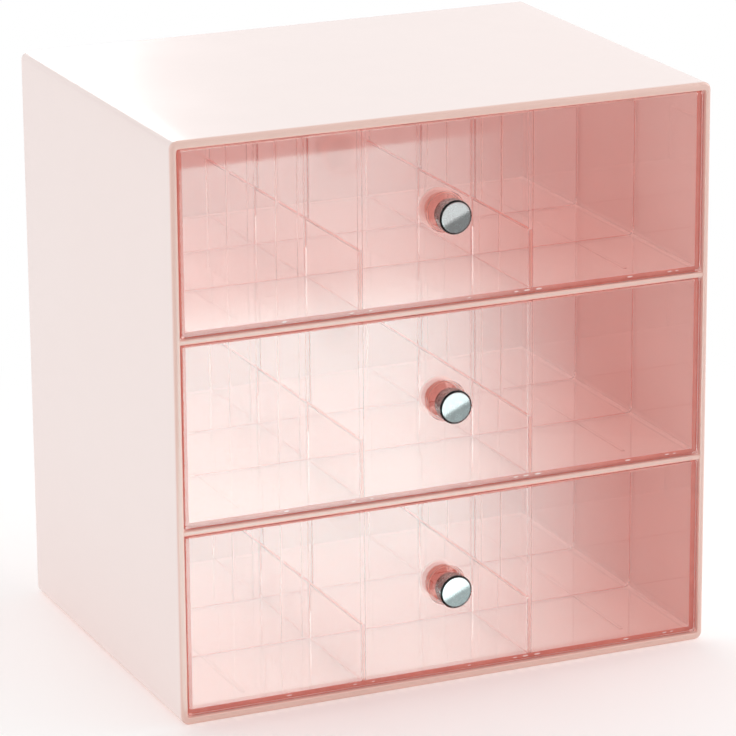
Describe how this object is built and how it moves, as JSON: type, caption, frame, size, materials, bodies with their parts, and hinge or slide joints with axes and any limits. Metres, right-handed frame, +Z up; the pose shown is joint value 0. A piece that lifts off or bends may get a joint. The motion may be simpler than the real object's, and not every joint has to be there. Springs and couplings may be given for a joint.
{
  "type": "nail polish organizer drawers",
  "caption": "Tabletop organizer for nail polish: an open-fronted blush casing with stacked clear pink drawers, each divided into compartments and pulled by a round metal knob.",
  "frame": {"origin": "centre of the casing's base, on the surface that it stands on", "axes": "+Z up, +X to the right seen from the front, the drawers open towards -Y"},
  "size_m": [0.174, 0.1334, 0.178],
  "materials": {
    "blush_casing": "opaque gloss, pale blush",
    "clear_pink": "transparent gloss, pink tint",
    "knob_metal": "plated, with a fine-grained face",
    "stud_steel": "plain"
  },
  "bodies": {
    "casing": {"casing_shell": "blush_casing", "back_panel": "blush_casing", "upper_shelf": "blush_casing", "lower_shelf": "blush_casing"},
    "upper_drawer": {"upper_tray": "clear_pink", "upper_front_panel": "clear_pink", "upper_left_divider": "clear_pink", "upper_right_divider": "clear_pink", "upper_front_cross_divider": "clear_pink", "upper_rear_cross_divider": "clear_pink", "upper_knob": "knob_metal", "upper_knob_stud": "stud_steel"},
    "middle_drawer": {"middle_tray": "clear_pink", "middle_front_panel": "clear_pink", "middle_left_divider": "clear_pink", "middle_right_divider": "clear_pink", "middle_front_cross_divider": "clear_pink", "middle_rear_cross_divider": "clear_pink", "middle_knob": "knob_metal", "middle_knob_stud": "stud_steel"},
    "lower_drawer": {"lower_tray": "clear_pink", "lower_front_panel": "clear_pink", "lower_left_divider": "clear_pink", "lower_right_divider": "clear_pink", "lower_front_cross_divider": "clear_pink", "lower_rear_cross_divider": "clear_pink", "lower_knob": "knob_metal", "lower_knob_stud": "stud_steel"}
  },
  "joints": [
    {"name": "upper_drawer_slide", "type": "slide", "parent": "casing", "child": "upper_drawer", "axis": [0, -1, 0], "range_m": [0, 0.1]},
    {"name": "middle_drawer_slide", "type": "slide", "parent": "casing", "child": "middle_drawer", "axis": [0, -1, 0], "range_m": [0, 0.1]},
    {"name": "lower_drawer_slide", "type": "slide", "parent": "casing", "child": "lower_drawer", "axis": [0, -1, 0], "range_m": [0, 0.1]}
  ]
}
